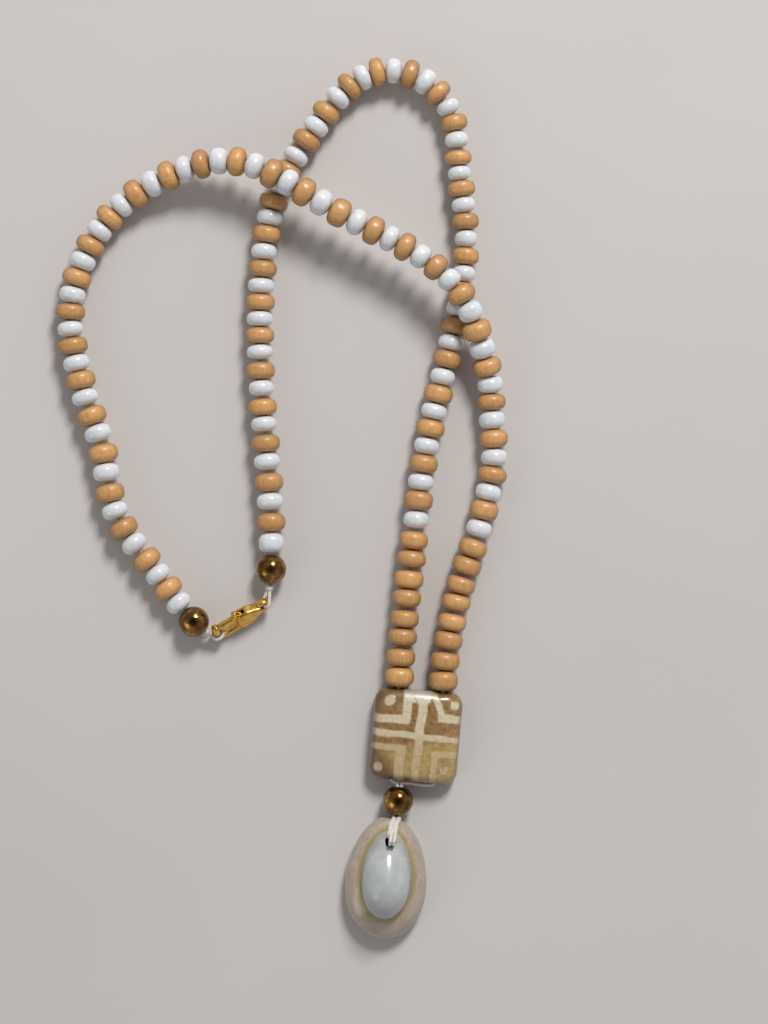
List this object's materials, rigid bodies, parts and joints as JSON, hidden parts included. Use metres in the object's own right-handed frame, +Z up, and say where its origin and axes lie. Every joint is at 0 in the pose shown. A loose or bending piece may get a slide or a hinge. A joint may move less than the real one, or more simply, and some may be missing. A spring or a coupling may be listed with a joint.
{
  "type": "beaded cowrie necklace",
  "caption": "Necklace of wood and white glass beads on thread, with a square patterned tile bead, round brass beads, a sprung hook clasp and a drilled cowrie pendant.",
  "frame": {"origin": "centre of the square tile bead's flat back face, on the surface the necklace lies on", "axes": "+Z up, away from the surface; +Y from the pendant towards the far loop of beads; +X to the right seen from above with the pendant nearest"},
  "size_m": [0.0898, 0.1758, 0.0114],
  "materials": {
    "wood": "thin satin varnish over fine grain",
    "white_glass": "opaque glossy white glass",
    "bronze_bead": "polished dark bronze-brown coating on metal",
    "gold_plate": "bright gold-coloured plating",
    "spring_steel": "plain drawn wire",
    "thread": "waxed white cord",
    "tile": "glossy cream lines on a tan-brown dyed ground",
    "shell": "polished shell, grey-blue crown inside a thin olive ring, cream margin"
  },
  "bodies": {
    "laid_strands": {"outer_wood_beads": "wood", "outer_glass_beads": "white_glass", "outer_thread": "thread", "inner_wood_beads": "wood", "inner_glass_beads": "white_glass", "inner_thread": "thread"},
    "pendant_link_1": {"pendant_link_1_wood_beads": "wood", "pendant_link_1_threads": "thread"},
    "pendant_link_2": {"pendant_link_2_wood_beads": "wood", "pendant_link_2_threads": "thread"},
    "pendant_link_3": {"pendant_link_3_wood_beads": "wood", "pendant_link_3_threads": "thread"},
    "pendant_link_4": {"pendant_link_4_wood_beads": "wood", "pendant_link_4_threads": "thread"},
    "tile": {"tile_bead": "tile", "tile_threads": "thread"},
    "drop": {"drop_threads": "thread"},
    "pendant_brass": {"pendant_brass_bead": "bronze_bead"},
    "cowrie": {"cowrie_shell": "shell", "cowrie_threads": "thread"},
    "loop_shoulder": {"loop_shoulder_wood_beads": "wood", "loop_shoulder_glass_beads": "white_glass", "loop_shoulder_threads": "thread"},
    "loop_crown": {"loop_crown_wood_beads": "wood", "loop_crown_glass_beads": "white_glass", "loop_crown_thread": "thread"},
    "tail_link_1": {"tail_link_1_wood_beads": "wood", "tail_link_1_glass_beads": "white_glass", "tail_link_1_threads": "thread"},
    "tail_link_2": {"tail_link_2_wood_beads": "wood", "tail_link_2_glass_beads": "white_glass", "tail_link_2_threads": "thread"},
    "tail_link_3": {"tail_link_3_wood_beads": "wood", "tail_link_3_glass_beads": "white_glass", "tail_link_3_threads": "thread"},
    "tail_link_4": {"tail_link_4_wood_beads": "wood", "tail_link_4_glass_beads": "white_glass", "tail_link_4_threads": "thread"},
    "tail_end": {"tail_end_wood_beads": "wood", "tail_end_glass_beads": "white_glass", "tail_end_threads": "thread"},
    "outer_brass": {"outer_brass_bead": "bronze_bead"},
    "inner_brass": {"inner_brass_bead": "bronze_bead"},
    "clasp": {"clasp_hook": "gold_plate", "clasp_rivet": "gold_plate", "clasp_spring": "spring_steel"},
    "lever": {"clasp_lever": "gold_plate"}
  },
  "joints": [
    {"name": "pendant_lift_1", "type": "hinge", "parent": "laid_strands", "child": "pendant_link_1", "pos_m": [0.00593, 0.04025, 0.00285], "axis": [-0.9907, 0.1361, 0], "range_deg": [0, 12]},
    {"name": "pendant_lift_2", "type": "hinge", "parent": "pendant_link_1", "child": "pendant_link_2", "pos_m": [0.00418, 0.03264, 0.00285], "axis": [-0.9924, 0.1233, 0], "range_deg": [0, 12]},
    {"name": "pendant_lift_3", "type": "hinge", "parent": "pendant_link_2", "child": "pendant_link_3", "pos_m": [0.0028, 0.02506, 0.00285], "axis": [-0.9974, 0.0718, 0], "range_deg": [0, 12]},
    {"name": "pendant_lift_4", "type": "hinge", "parent": "pendant_link_3", "child": "pendant_link_4", "pos_m": [0.00164, 0.01744, 0.00285], "axis": [-0.9968, 0.0796, 0], "range_deg": [0, 12]},
    {"name": "pendant_lift_5", "type": "hinge", "parent": "pendant_link_4", "child": "tile", "pos_m": [0.00101, 0.00923, 0.00285], "axis": [-0.9962, 0.0872, 0], "range_deg": [0, 12]},
    {"name": "pendant_swing", "type": "hinge", "parent": "tile", "child": "drop", "pos_m": [-0.0032, -0.00918, 0.00305], "axis": [0, 0, 1], "range_deg": [-14, 14]},
    {"name": "pendant_brass_spin", "type": "hinge", "parent": "drop", "child": "pendant_brass", "pos_m": [-0.00352, -0.01279, 0.00305], "axis": [-0.0872, -0.9962, 0], "continuous": true},
    {"name": "cowrie_lift", "type": "hinge", "parent": "drop", "child": "cowrie", "pos_m": [-0.00381, -0.01608, 0.00305], "axis": [-0.9962, 0.0872, 0], "range_deg": [0, 22]},
    {"name": "loop_lift_1", "type": "hinge", "parent": "laid_strands", "child": "loop_shoulder", "pos_m": [-0.00727, 0.11677, 0.00285], "axis": [1, -0.0024, 0], "range_deg": [0, 14]},
    {"name": "loop_lift_2", "type": "hinge", "parent": "loop_shoulder", "child": "loop_crown", "pos_m": [-0.00553, 0.12605, 0.00285], "axis": [0.999, 0.0454, 0], "range_deg": [0, 14]},
    {"name": "tail_lift_1", "type": "hinge", "parent": "laid_strands", "child": "tail_link_1", "pos_m": [-0.04806, 0.07013, 0.00285], "axis": [-0.9667, -0.256, 0], "range_deg": [0, 12]},
    {"name": "tail_lift_2", "type": "hinge", "parent": "tail_link_1", "child": "tail_link_2", "pos_m": [-0.04658, 0.06288, 0.00285], "axis": [-0.9624, -0.2717, 0], "range_deg": [0, 12]},
    {"name": "tail_lift_3", "type": "hinge", "parent": "tail_link_2", "child": "tail_link_3", "pos_m": [-0.04565, 0.05536, 0.00285], "axis": [-0.9536, -0.301, 0], "range_deg": [0, 12]},
    {"name": "tail_lift_4", "type": "hinge", "parent": "tail_link_3", "child": "tail_link_4", "pos_m": [-0.04428, 0.04785, 0.00285], "axis": [-0.9517, -0.3071, 0], "range_deg": [0, 12]},
    {"name": "tail_lift_5", "type": "hinge", "parent": "tail_link_4", "child": "tail_end", "pos_m": [-0.04179, 0.04072, 0.00285], "axis": [-0.9551, -0.2964, 0], "range_deg": [0, 12]},
    {"name": "outer_brass_spin", "type": "hinge", "parent": "tail_end", "child": "outer_brass", "pos_m": [-0.04409, 0.02281, 0.00305], "axis": [0.7101, -0.7041, 0], "continuous": true},
    {"name": "inner_brass_spin", "type": "hinge", "parent": "tail_end", "child": "inner_brass", "pos_m": [-0.02875, 0.0332, 0.00305], "axis": [-0.09, -0.9959, 0], "continuous": true},
    {"name": "clasp_roll", "type": "hinge", "parent": "tail_end", "child": "clasp", "pos_m": [-0.0401, 0.02055, 0.0029], "axis": [0.8686, 0.4955, 0], "range_deg": [-12, 12]},
    {"name": "lever_open", "type": "hinge", "parent": "clasp", "child": "lever", "pos_m": [-0.03485, 0.02406, 0.00368], "axis": [0.4291, -0.7523, 0.5], "range_deg": [0, 14], "stiffness_Nm_per_rad": 0.00001, "springref_deg": -20.05, "deforming": ["clasp_spring"]}
  ],
  "couplings": [
    {"joint": "pendant_lift_2", "follows": "pendant_lift_1", "ratio": 1},
    {"joint": "pendant_lift_3", "follows": "pendant_lift_1", "ratio": 1},
    {"joint": "pendant_lift_4", "follows": "pendant_lift_1", "ratio": 1},
    {"joint": "pendant_lift_5", "follows": "pendant_lift_1", "ratio": 1},
    {"joint": "loop_lift_2", "follows": "loop_lift_1", "ratio": 1},
    {"joint": "tail_lift_2", "follows": "tail_lift_1", "ratio": 1},
    {"joint": "tail_lift_3", "follows": "tail_lift_1", "ratio": 1},
    {"joint": "tail_lift_4", "follows": "tail_lift_1", "ratio": 1},
    {"joint": "tail_lift_5", "follows": "tail_lift_1", "ratio": 1}
  ]
}
